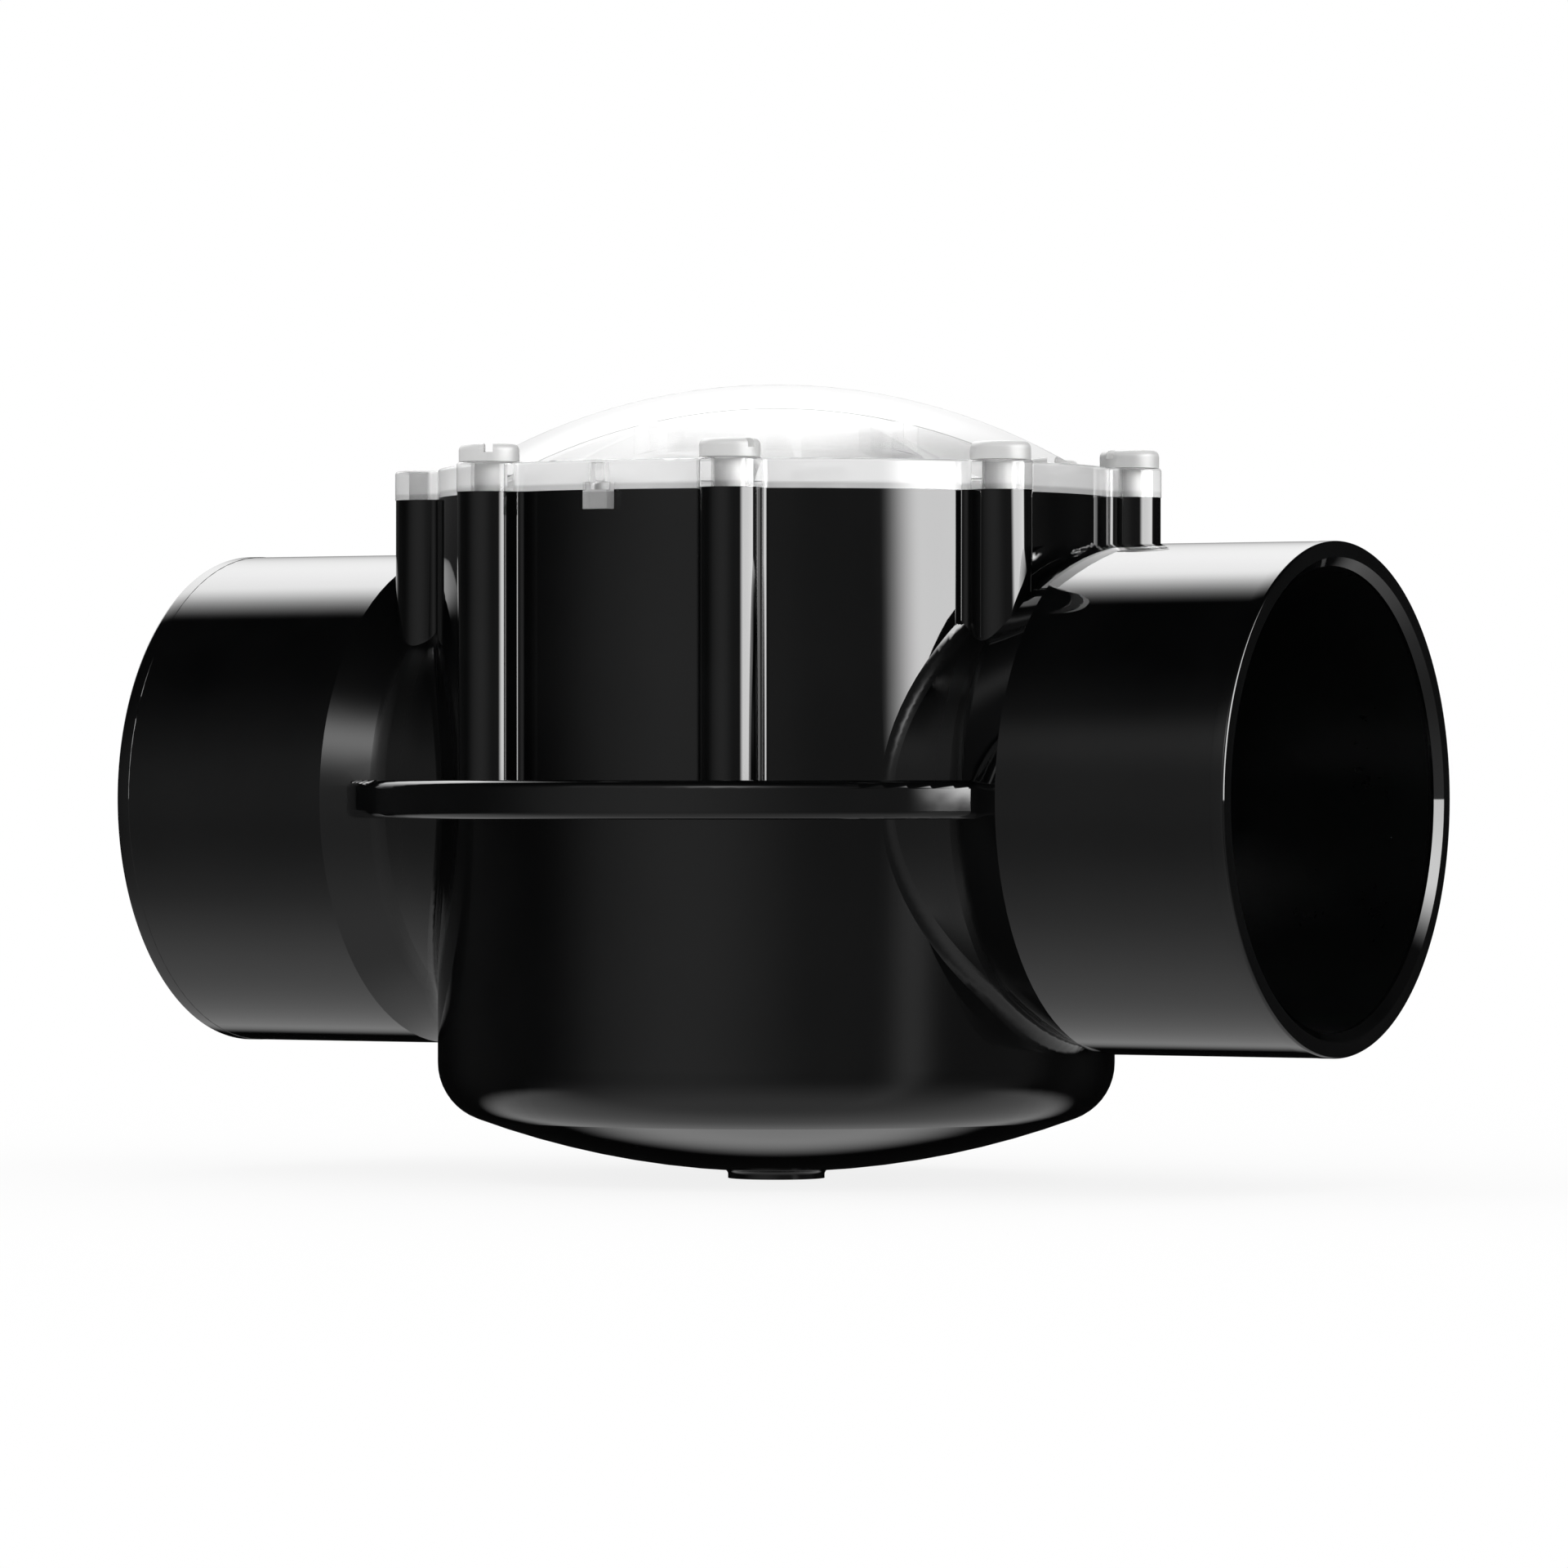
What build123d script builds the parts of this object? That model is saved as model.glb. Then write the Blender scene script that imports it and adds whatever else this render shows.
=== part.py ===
from build123d import *
from math import acos, atan2, cos, degrees, hypot, radians, sin, sqrt, tan
import os

# In-line non-return valve with a clear bolted cover and a spring-loaded swing disc.
# X is the flow direction from inlet to outlet, Z is up through the cover.
# The origin is at the centre of the foot pad's underside. All lengths are millimetres.

# Pipe ends
port_radius = 36.5
port_wall = 3.5
port_length = 35.6
stop_setback = 0.6
rim_outer_round = 0.4
rim_chamfer_radial = 1.2
rim_chamfer_axial = 1.0
cone_length = 7.9
cone_root_round = 6.0
cone_step = 3.4
cone_overlap = 1.5
neck_wall = 4.1

# Drum-shaped body
body_wall = 4.0
swing_room = 17.5
body_top_above_axis = 43.84
floor_sphere_radius = 126.7
floor_below_axis = 54.4
floor_corner_round = 8.6
saddle_round = 2.5
pad_radius = 7.07
pad_height = 1.0
pad_flare = 0.7

# Rib plate round the body at the level of the port axis
plate_reach = 13.3
plate_overrun = 5.0
plate_thickness = 5.5
plate_edge_round = 1.2
plate_corner_round = 1.8

# Bosses and the bolt circle
boss_count = 8
boss_offset = 2.3
boss_radius = 4.55
boss_root_round = 1.0
first_boss_angle = 22.5
empty_boss_angle = 202.5
short_boss_depth = 29.0

# Cover screws
screw_shank_radius = 2.1
screw_length = 16.0
screw_head_radius = 4.34
screw_head_height = 2.58
screw_head_round = 1.0
slot_width = 1.3
slot_depth = 1.3
slot_turn = 52.5
screw_fit_clearance = 0.05
cover_hole_radius = 2.6
pilot_extra_depth = 3.0

# Clear cover
flange_thickness = 4.28
lobe_radius = 4.65
flange_edge_round = 0.5
dome_sphere_radius = 86.0
dome_apex_above_flange = 12.38
dome_wall = 3.5
spigot_depth = 1.8
spigot_wall = 4.0
spigot_clearance = 0.2
cover_rib_depth = 4.0
cover_rib_width = 2.2
cover_ring_radius = 19.7
pocket_corner_round = 2.5
tab_width = 3.95
tab_drop = 2.8
tab_thickness = 2.0
tab_rib_width = 2.3
tab_clearance = 0.15

# Cover seal in its rebate
cover_ring_width = 2.5
cover_ring_height = 2.1
seal_corner_round = 0.8

# Seat frame, a wedge cartridge that drops in through the cover opening
seat_slant = 10.0
land_depth = 17.5
frame_thickness = 5.0
cheek_gap = 4.5
frame_foot = 2.9
frame_top_gap = 0.3
frame_wall_clearance = 0.3
cheek_thickness = 3.0
wedge_margin = 0.7
seat_step = 4.0
seat_lip_width = 2.0
seat_lip_height = 1.2
frame_ring_gap = 0.95
frame_ring_width = 2.2
frame_ring_depth = 1.8

# Guide rails in the body, in front of the frame's cheeks
rail_thickness = 3.0
rail_clearance = 0.15
rail_overlap = 2.5

# Hinge
hinge_gap = 5.5
pin_radius = 2.5
hub_radius = 4.5
hub_half_width = 6.0
sleeve_radius = 3.3
ear_inner = 15.0
ear_thickness = 5.0
ear_radius = 5.6
ear_depth = 6.5
bush_wall = 1.4
bush_flange_radius = 5.2
bush_flange_thickness = 1.0
hinge_end_play = 0.15
running_clearance = 0.05
clip_thickness = 0.8
clip_outer_radius = 4.4
clip_groove_depth = 0.45
clip_gap = 0.1
clip_mouth = 3.0
pin_end = 1.4
pin_chamfer = 0.3

# Swing arm and its stop
open_angle = 75.0
arm_thickness = 4.0
arm_half_width = 8.0
arm_eye_radius = 8.5
heel_height = 5.5
heel_half_width = 5.0
heel_start = 0.5
stop_gap = 0.1
bumper_radius = 3.4
bumper_height = 3.0
bumper_recess = 1.5

# Disc and its fastening
disc_overlap = 3.0
disc_thickness = 3.5
disc_boss_radius = 9.5
disc_boss_height = 1.5
disc_edge_round = 0.8
disc_rib_width = 2.0
disc_rib_count = 6
disc_rib_margin = 3.0
disc_rib_drop = 0.3
seal_thickness = 2.5
seat_gap = 0.1
retainer_gap = 2.0
retainer_thickness = 2.0
stud_radius = 3.0
stud_shoulder_radius = 3.6
stud_head_radius = 6.0
stud_head_height = 2.5
stud_end = 1.0
eye_clearance = 0.1
eye_end_play = 0.1
washer_radius = 6.5
washer_thickness = 1.2
nut_across_flats = 10.0
nut_height = 4.5

# Return springs
spring_wire = 0.9
spring_turns = 4
spring_clearance = 0.3
spring_pitch_gap = 0.15
spring_arm_reach = 13.0
spring_rest_gap = 0.05
spring_hub_gap = 0.35
spring_hole_depth = 2.5
spring_hole_clearance = 0.15


def leg_angle(across, along, radius):
    """Angle in degrees where a straight leg to a point leaves a circle, on its far side."""
    reach = hypot(across, along)
    return degrees(atan2(along, across)) % 360 - degrees(acos(radius / reach))


# Places worked out from the sizes above
socket_radius = port_radius - port_wall
neck_radius = port_radius - cone_step
neck_bore_radius = neck_radius - neck_wall
seat_opening_radius = neck_bore_radius - seat_step
disc_radius = seat_opening_radius + disc_overlap
chamber_radius = disc_radius + swing_room
body_radius = chamber_radius + body_wall
cone_inner_x = body_radius - cone_overlap
cone_outer_x = cone_inner_x + cone_length
half_length = cone_outer_x + port_length
socket_depth = port_length - stop_setback
axis_height = floor_below_axis + pad_height
body_top = axis_height + body_top_above_axis
floor_apex = pad_height
floor_centre = floor_apex + floor_sphere_radius
plate_radius = body_radius + plate_reach
plate_half_length = cone_inner_x + plate_overrun
boss_circle_radius = body_radius + boss_offset
boss_step = 360 / boss_count
boss_angles = [first_boss_angle + boss_step * k for k in range(boss_count)]
flange_top = body_top + flange_thickness
dome_apex = flange_top + dome_apex_above_flange
dome_centre = dome_apex - dome_sphere_radius
spigot_radius = chamber_radius - spigot_clearance
spigot_bottom = body_top - spigot_depth
cover_inner_radius = spigot_radius - spigot_wall
frame_top = spigot_bottom - frame_top_gap
frame_drop = neck_radius + frame_foot
frame_bottom = axis_height - frame_drop
frame_half_width = disc_radius + cheek_gap + cheek_thickness
frame_ring_radius = neck_bore_radius + frame_ring_gap + frame_ring_width / 2
land_x = land_depth - chamber_radius
retainer_radius = seat_opening_radius - retainer_gap
slant = radians(seat_slant)
lip_front = frame_thickness + seat_lip_height
seal_front = lip_front + seat_gap
seal_back = seal_front + seal_thickness
disc_back = seal_back + disc_thickness
disc_boss_back = disc_back + disc_boss_height
arm_front = disc_boss_back + eye_end_play
arm_back = arm_front + arm_thickness
hinge_offset = (arm_front + arm_back) / 2
hinge_rise = disc_radius + hinge_gap
washer_front = arm_back + eye_end_play
nut_front = washer_front + washer_thickness
retainer_front = seal_front - retainer_thickness
ear_outer = ear_inner + ear_thickness
bush_radius = pin_radius + running_clearance + bush_wall
bush_flange_inner = ear_inner - bush_flange_thickness
sleeve_end = bush_flange_inner - hinge_end_play
clip_inner_face = ear_outer + clip_gap
pin_half_length = clip_inner_face + clip_thickness + pin_end
bumper_face = frame_thickness - bumper_recess + bumper_height
bumper_rise = hinge_rise + heel_start + heel_height / 2
spring_radius = sleeve_radius + spring_clearance + spring_wire / 2
spring_pitch = spring_wire + spring_pitch_gap
spring_start = hub_half_width + spring_hub_gap + spring_wire / 2
spring_arm_across = hinge_offset - arm_back - spring_rest_gap - spring_wire / 2
spring_arm_angle = leg_angle(spring_arm_across, -spring_arm_reach, spring_radius)
spring_turns_all = spring_turns + (spring_arm_angle - 90) / 360
spring_frame_side = spring_start + spring_pitch * spring_turns_all
spring_hole_bottom = frame_thickness - spring_hole_depth

# How far a cut runs past the face that it opens, and a joined piece reaches into its neighbour
overshoot = 1.0

# How near a corner or an edge must lie to the place that it is picked by
pick_margin = 0.02

# The slanted seat frame of reference: x across, y up the seat, z away from the land
seat_plane = Plane(
    origin=(land_x, 0, axis_height),
    x_dir=(0, 1, 0),
    z_dir=(cos(slant), 0, sin(slant)),
)


def place_on_seat(shape):
    """Move a shape drawn on the seat's own axes into the valve."""
    return seat_plane.location * shape


def tube(outer, inner, start, end):
    """Round tube along Z from start to end."""
    length = end - start
    middle = Pos(0, 0, (start + end) / 2)
    return middle * (Cylinder(outer, length) - Cylinder(inner, length + 2 * overshoot))


def disc(radius, start, end):
    """Round disc along Z from start to end."""
    return Pos(0, 0, (start + end) / 2) * Cylinder(radius, end - start)


def block(x0, x1, y0, y1, z0, z1):
    """Box between two corners."""
    middle = Pos((x0 + x1) / 2, (y0 + y1) / 2, (z0 + z1) / 2)
    return middle * Box(x1 - x0, y1 - y0, z1 - z0)


def polar(radius, angle):
    """Point at an angle in degrees on a circle about Z."""
    return radius * cos(radians(angle)), radius * sin(radians(angle))


def along_x(shape):
    """Turn a shape drawn along Z so that it lies along X."""
    return Rot(0, 90, 0) * shape


def hinge_shape(shape):
    """Turn a shape drawn along Z onto the hinge axis on the seat's own axes."""
    return Pos(0, hinge_rise, hinge_offset) * along_x(shape)


def squeezed_ring(inner, outer, start, end):
    """Elastomer ring squeezed in its groove, with rounded corners."""
    section = Pos((inner + outer) / 2, (start + end) / 2) * Rectangle(outer - inner, end - start)
    section = fillet(section.vertices(), min(seal_corner_round, (end - start) / 3))
    return revolve(Plane.XZ * section, Axis.Z)


# Valve body


def drum_outline(radius, sphere_radius, corner):
    """Half section of an upright cylinder with a domed floor and a rounded corner between them."""
    apex = floor_centre - sphere_radius
    corner_z = floor_centre - sqrt(sphere_radius**2 - radius**2)
    middle_z = floor_centre - sqrt(sphere_radius**2 - (radius / 2) ** 2)
    floor = ThreePointArc((0, apex), (radius / 2, middle_z), (radius, corner_z))
    wall = Polyline((radius, corner_z), (radius, body_top), (0, body_top), (0, apex))
    outline = make_face([floor, wall])
    at_wall = [v for v in outline.vertices() if abs(v.X - radius) < pick_margin]
    return fillet(min(at_wall, key=lambda v: v.Y), corner)


def turned_about_z(outline):
    """Solid turned about Z from a half section, with its seam across the flow."""
    return Rot(0, 0, 90) * revolve(Plane.XZ * outline, Axis.Z)


def drum(radius, sphere_radius, corner):
    """Upright cylinder with a domed floor."""
    return turned_about_z(drum_outline(radius, sphere_radius, corner))


def lobed_outline(rim_radius, round_radius, angles, root_round):
    """Disc with a round lobe at each bolt, blended where lobe and rim meet."""
    outline = Circle(rim_radius)
    for angle in angles:
        x, y = polar(boss_circle_radius, angle)
        outline += Pos(x, y) * Circle(round_radius)
    corners = []
    for vertex in outline.vertices():
        on_rim = abs(hypot(vertex.X, vertex.Y) - rim_radius) < pick_margin
        for angle in angles:
            x, y = polar(boss_circle_radius, angle)
            if on_rim and abs(hypot(vertex.X - x, vertex.Y - y) - round_radius) < pick_margin:
                corners.append(vertex)
    return fillet(corners, root_round)


def port_outside():
    """Neck, cone and socket of both ends, turned about the flow axis."""
    points = [
        (0, 0),
        (half_length, 0),
        (half_length, port_radius),
        (cone_outer_x, port_radius),
        (cone_inner_x, neck_radius),
        (0, neck_radius),
    ]
    outline = make_face(Polyline(*points, close=True))
    rim = [v for v in outline.vertices() if v.X > half_length - pick_margin and v.Y > pick_margin]
    outline = fillet(rim, rim_outer_round)
    cone_root = [v for v in outline.vertices() if abs(v.X - cone_inner_x) < pick_margin]
    outline = fillet(cone_root, cone_root_round)
    half = revolve(Plane.XZ * outline, Axis.X)
    return Pos(0, 0, axis_height) * (half + mirror(half, about=Plane.YZ))


def socket_hole():
    """Solid that cuts one socket with its mouth chamfer, on the outlet side."""
    stop_x = half_length - socket_depth
    mouth_radius = socket_radius + rim_chamfer_radial
    points = [
        (stop_x, 0),
        (half_length + overshoot, 0),
        (half_length + overshoot, mouth_radius + overshoot * rim_chamfer_radial / rim_chamfer_axial),
        (half_length - rim_chamfer_axial, socket_radius),
        (stop_x, socket_radius),
    ]
    outline = make_face(Polyline(*points, close=True))
    return Pos(0, 0, axis_height) * revolve(Plane.XZ * outline, Axis.X)


def rib_plate():
    """Flat plate round the body at port height, with blunt ends and rounded edges."""
    outline = Circle(plate_radius) & Rectangle(2 * plate_half_length, 3 * plate_radius)
    outline = fillet(outline.vertices(), plate_corner_round)
    plate = Pos(0, 0, axis_height - plate_thickness / 2) * extrude(outline, plate_thickness)
    faces = plate.faces().filter_by(Plane.XY)
    return fillet(faces.edges(), plate_edge_round)


def bosses():
    """Screw bosses: the ones beside the necks end in them, the others reach the plate."""
    upright = [a for a in boss_angles if abs(cos(radians(a))) < cos(radians(45))]
    beside_neck = [a for a in boss_angles if a not in upright]
    plate_top = axis_height + plate_thickness / 2
    long_outline = lobed_outline(body_radius, boss_radius, upright, boss_root_round)
    short_outline = lobed_outline(body_radius, boss_radius, beside_neck, boss_root_round)
    long_depth = body_top - plate_top + plate_edge_round
    long_bosses = Pos(0, 0, body_top - long_depth) * extrude(long_outline, long_depth)
    short_bosses = Pos(0, 0, body_top - short_boss_depth) * extrude(short_outline, short_boss_depth)
    return long_bosses + short_bosses


def inlet_spout():
    """Inner end of the inlet neck, cut off on the slant to carry the seat frame."""
    spout = Pos(0, 0, axis_height) * along_x(disc(neck_radius, -cone_inner_x, 0))
    reach = 2 * body_radius
    behind_land = block(-reach, reach, -reach, reach, -reach, 0)
    return spout & place_on_seat(behind_land)


def rails():
    """Upright rails on the chamber wall that hold the seat frame's cheeks from the front."""
    start = cheek_front_x() + rail_clearance
    inner = frame_half_width - rail_overlap
    side = block(start, start + rail_thickness, inner, body_radius, floor_apex, frame_top)
    skin = body_wall / 2
    inside = drum(body_radius - skin, floor_sphere_radius - skin, floor_corner_round - skin)
    return (side & inside) + (mirror(side, about=Plane.XZ) & inside)


def cheek_front_x():
    """Upright face of the seat frame's cheeks, just ahead of the slanted plate's lower edge."""
    return land_x + frame_thickness / cos(slant) + frame_drop * tan(slant) + wedge_margin


def is_saddle(edge):
    """Whether an edge runs where a neck meets the drum."""
    points = [edge @ (k / 8) for k in range(9)]
    on_drum = all(abs(hypot(q.X, q.Y) - body_radius) < pick_margin for q in points)
    on_neck = all(hypot(q.Y, q.Z - axis_height) < port_radius + pick_margin for q in points)
    return on_drum and on_neck and edge.geom_type != GeomType.LINE


def plain_outside():
    """Drum, foot pad and necks with their blended roots."""
    outline = drum_outline(body_radius, floor_sphere_radius, floor_corner_round)
    pad_top = floor_apex + body_wall / 2
    outline += Pos(pad_radius / 2, pad_top / 2) * Rectangle(pad_radius, pad_top)
    pad_side = [v for v in outline.vertices() if abs(v.X - pad_radius) < pick_margin]
    outline = fillet(max(pad_side, key=lambda v: v.Y), pad_flare)
    solid = turned_about_z(outline) + port_outside()
    return fillet([edge for edge in solid.edges() if is_saddle(edge)], saddle_round)


def valve_body():
    outside = plain_outside()
    outside += bosses()
    outside += rib_plate()
    chamber = drum(chamber_radius, floor_sphere_radius - body_wall, floor_corner_round - body_wall)
    neck_length = 2 * (half_length - socket_depth + overshoot)
    neck_bore = Pos(0, 0, axis_height) * along_x(Cylinder(neck_bore_radius, neck_length))
    body = outside - chamber
    body += inlet_spout()
    body += rails()
    body -= neck_bore
    socket = socket_hole()
    body -= socket
    body -= mirror(socket, about=Plane.YZ)
    body -= disc(chamber_radius + cover_ring_width, body_top - cover_ring_height, body_top + overshoot)
    pilot_depth = screw_length - flange_thickness + pilot_extra_depth
    pilot_radius = screw_shank_radius + screw_fit_clearance
    for angle in boss_angles:
        x, y = polar(boss_circle_radius, angle)
        body -= Pos(x, y) * disc(pilot_radius, body_top - pilot_depth, body_top + overshoot)
    return body


# Clear cover, its seal and its screws


def cover_rib_layer():
    """Radial ribs to the screws and a central ring, hanging under the dome."""
    sectors = Circle(cover_inner_radius) - Circle(cover_ring_radius + cover_rib_width / 2)
    for angle in boss_angles:
        sectors -= Rot(0, 0, angle) * (Pos(body_radius / 2, 0) * Rectangle(body_radius, cover_rib_width))
    pockets = Sketch()
    for face in sectors.faces():
        pockets += fillet(face.vertices(), pocket_corner_round)
    layer = Circle(cover_inner_radius + spigot_wall / 2) - Circle(cover_ring_radius - cover_rib_width / 2)
    layer -= pockets
    height = dome_apex - spigot_bottom
    upright = Pos(0, 0, spigot_bottom) * extrude(layer, height)
    upper = dome_sphere_radius - dome_wall / 2
    lower = dome_sphere_radius - dome_wall - cover_rib_depth
    shell = Pos(0, 0, dome_centre) * (Sphere(upper) - Sphere(lower))
    above = block(-body_radius, body_radius, -body_radius, body_radius, body_top, dome_apex)
    return upright & shell & above


def clear_cover():
    outline = lobed_outline(body_radius, lobe_radius, boss_angles, boss_root_round)
    flange = Pos(0, 0, body_top) * extrude(outline, flange_thickness)
    top_face = flange.faces().sort_by(Axis.Z)[-1]
    flange = fillet(top_face.edges(), flange_edge_round)
    ball = Pos(0, 0, dome_centre) * Sphere(dome_sphere_radius)
    cover = flange + (ball & disc(body_radius - overshoot, body_top + overshoot, dome_apex + overshoot))
    cover += disc(spigot_radius, spigot_bottom, body_top + overshoot)
    inner_ball = Pos(0, 0, dome_centre) * Sphere(dome_sphere_radius - dome_wall)
    cover -= inner_ball & disc(cover_inner_radius, spigot_bottom - overshoot, dome_apex)
    cover += cover_rib_layer()
    outer_y = body_radius + tab_clearance + tab_thickness
    inner_y = body_radius + tab_clearance
    root_y = body_radius - overshoot
    half_tab = tab_width / 2
    half_stem = tab_rib_width / 2
    cover += block(-half_tab, half_tab, -outer_y, -inner_y, body_top - tab_drop, body_top + overshoot)
    cover += block(-half_tab, half_tab, -outer_y, -root_y, body_top, body_top + overshoot)
    cover += block(-half_stem, half_stem, -outer_y, -root_y, body_top, flange_top - flange_edge_round)
    for angle in boss_angles:
        x, y = polar(boss_circle_radius, angle)
        cover -= Pos(x, y) * disc(cover_hole_radius, body_top - overshoot, flange_top + overshoot)
    return cover


def cover_o_ring():
    inner = spigot_radius + spigot_clearance
    return squeezed_ring(inner, chamber_radius + cover_ring_width, body_top - cover_ring_height, body_top)


def cover_screw():
    """Slotted pan-head screw standing on the flange, drawn on its own axis."""
    head = disc(screw_head_radius, flange_top, flange_top + screw_head_height)
    head = fillet(head.edges().sort_by(Axis.Z)[-1], screw_head_round)
    slot_bottom = flange_top + screw_head_height - slot_depth
    reach = 2 * screw_head_radius
    head -= block(-reach, reach, -slot_width / 2, slot_width / 2, slot_bottom, slot_bottom + reach)
    shank = disc(screw_shank_radius, flange_top - screw_length, flange_top)
    shank = chamfer(shank.edges().sort_by(Axis.Z)[0], screw_shank_radius / 2)
    return head + shank


def cover_screws():
    """One screw in each boss but the empty one."""
    screws = []
    for angle in boss_angles:
        if abs(angle - empty_boss_angle) > 1:
            x, y = polar(boss_circle_radius, angle)
            screws.append(Pos(x, y) * Rot(0, 0, angle + slot_turn) * cover_screw())
    return Compound(children=screws)


# Seat frame


def seat_frame():
    """Slanted plate with its seat opening, cheeks that wedge behind the rails and hinge ears."""
    reach = 2 * body_radius
    plate = block(-frame_half_width, frame_half_width, -reach, reach, 0, frame_thickness)
    ahead = block(-reach, reach, -reach, reach, 0, 2 * reach)
    frame = place_on_seat(plate)
    for side in (-1, 1):
        outer = side * frame_half_width
        inner = side * (frame_half_width - cheek_thickness)
        cheek = block(-reach, cheek_front_x(), min(inner, outer), max(inner, outer), 0, frame_top)
        frame += cheek & place_on_seat(ahead)
    frame &= disc(chamber_radius - frame_wall_clearance, frame_bottom, frame_top)
    fittings = tube(seat_opening_radius + seat_lip_width, seat_opening_radius, 0, lip_front)
    for side in (-1, 1):
        fittings += hinge_ear(side)
    frame += place_on_seat(fittings)
    cuts = disc(seat_opening_radius, -overshoot, lip_front + overshoot)
    cuts += tube(
        frame_ring_radius + frame_ring_width / 2,
        frame_ring_radius - frame_ring_width / 2,
        -overshoot,
        frame_ring_depth,
    )
    cuts += Pos(0, bumper_rise) * disc(bumper_radius, frame_thickness - bumper_recess, lip_front)
    for side in (-1, 1):
        middle = side * (ear_inner + ear_outer) / 2
        cuts += hinge_shape(disc(bush_radius, middle - ear_thickness, middle + ear_thickness))
        spring_hole = disc(spring_wire / 2 + spring_hole_clearance, spring_hole_bottom, lip_front)
        cuts += Pos(side * spring_frame_side, hinge_rise + spring_radius) * spring_hole
    return frame - place_on_seat(cuts)


def hinge_ear(side):
    """Lug on the plate that carries one end of the hinge, on the seat's own axes."""
    start = min(side * ear_inner, side * ear_outer)
    eye = hinge_shape(disc(ear_radius, start, start + ear_thickness))
    low = hinge_rise - ear_depth
    high = hinge_rise + ear_radius
    web = block(start, start + ear_thickness, low, high, frame_thickness - overshoot, hinge_offset)
    return eye + web


def seat_frame_o_ring():
    inner = frame_ring_radius - frame_ring_width / 2
    outer = frame_ring_radius + frame_ring_width / 2
    return place_on_seat(squeezed_ring(inner, outer, 0, frame_ring_depth))


def stop_bumper():
    base = frame_thickness - bumper_recess
    pad = disc(bumper_radius, base, bumper_face)
    pad = fillet(pad.edges().sort_by(Axis.Z)[-1], seal_corner_round / 2)
    return place_on_seat(Pos(0, bumper_rise) * pad)


# Hinge parts


def hinge_bush(side):
    """Flanged bush pressed into one ear, flange towards the arm."""
    inner = pin_radius + running_clearance
    sleeve = tube(bush_radius, inner, ear_inner, ear_outer)
    flange = tube(bush_flange_radius, inner, bush_flange_inner, ear_inner)
    bush = sleeve + flange
    if side < 0:
        bush = mirror(bush, about=Plane.XY)
    return place_on_seat(hinge_shape(bush))


def hinge_pin():
    pin = disc(pin_radius, -pin_half_length, pin_half_length)
    pin = chamfer(pin.edges().filter_by(GeomType.CIRCLE), pin_chamfer)
    slot_end = clip_inner_face + clip_thickness + clip_gap
    groove = tube(pin_radius + overshoot, pin_radius - clip_groove_depth, clip_inner_face, slot_end)
    pin -= groove
    pin -= mirror(groove, about=Plane.XY)
    return place_on_seat(hinge_shape(pin))


def pin_clip(side):
    """Open retaining clip snapped into a groove near the pin's end."""
    bore = pin_radius - clip_groove_depth + running_clearance
    start = clip_inner_face + clip_gap / 2
    end = start + clip_thickness
    clip = tube(clip_outer_radius, bore, start, end)
    half_mouth = clip_mouth / 2
    clip -= block(-half_mouth, half_mouth, 0, 2 * clip_outer_radius, start - overshoot, end + overshoot)
    if side < 0:
        clip = mirror(clip, about=Plane.XY)
    return place_on_seat(hinge_shape(clip))


def stop_heel():
    """Heel of the arm, drawn where it meets the bumper at full opening and turned back."""
    reach = hinge_offset - bumper_face - stop_gap
    heel = block(-heel_half_width, heel_half_width, heel_start, heel_start + heel_height, -reach, 0)
    return Rot(open_angle, 0, 0) * heel


def swing_arm():
    """Hub on the hinge pin, blade down to the eye, and the stop heel."""
    hub = disc(hub_radius, -hub_half_width, hub_half_width)
    hub += disc(sleeve_radius, -sleeve_end, sleeve_end)
    arm = hinge_shape(hub)
    arm += Pos(0, hinge_rise, hinge_offset) * stop_heel()
    shoulder = hinge_rise - spring_radius - spring_wire
    blade = block(-arm_half_width, arm_half_width, 0, shoulder, arm_front, arm_back)
    blade += block(-hub_half_width, hub_half_width, 0, hinge_rise, arm_front, arm_back)
    blade += disc(arm_eye_radius, arm_front, arm_back)
    arm += blade
    arm -= disc(stud_shoulder_radius + eye_clearance, arm_front - overshoot, arm_back + overshoot)
    arm -= hinge_shape(disc(pin_radius, -sleeve_end - overshoot, sleeve_end + overshoot))
    return place_on_seat(arm)


# Disc assembly


def flapper_disc():
    """Rigid disc with a central boss and stiffening ribs on its back."""
    plate = disc(disc_radius, seal_back, disc_back)
    plate = fillet(plate.edges().sort_by(Axis.Z)[-1], disc_edge_round)
    plate += disc(disc_boss_radius, seal_back, disc_boss_back)
    rib_end = disc_radius - disc_rib_margin
    rib_top = disc_boss_back - disc_rib_drop
    for k in range(disc_rib_count):
        half_rib = disc_rib_width / 2
        rib = block(0, rib_end, -half_rib, half_rib, seal_back + disc_thickness / 2, rib_top)
        plate += Rot(0, 0, 360 * k / disc_rib_count) * rib
    plate -= disc(stud_radius + running_clearance, seal_back - overshoot, disc_boss_back + overshoot)
    return place_on_seat(plate)


def disc_seal():
    seal = tube(disc_radius - disc_edge_round / 2, stud_radius + running_clearance, seal_front, seal_back)
    return place_on_seat(seal)


def seal_retainer():
    plate = disc(retainer_radius, retainer_front, seal_front)
    plate = chamfer(plate.edges().sort_by(Axis.Z)[0], retainer_thickness / 3)
    plate -= disc(stud_radius + running_clearance, retainer_front - overshoot, seal_front + overshoot)
    return place_on_seat(plate)


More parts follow.
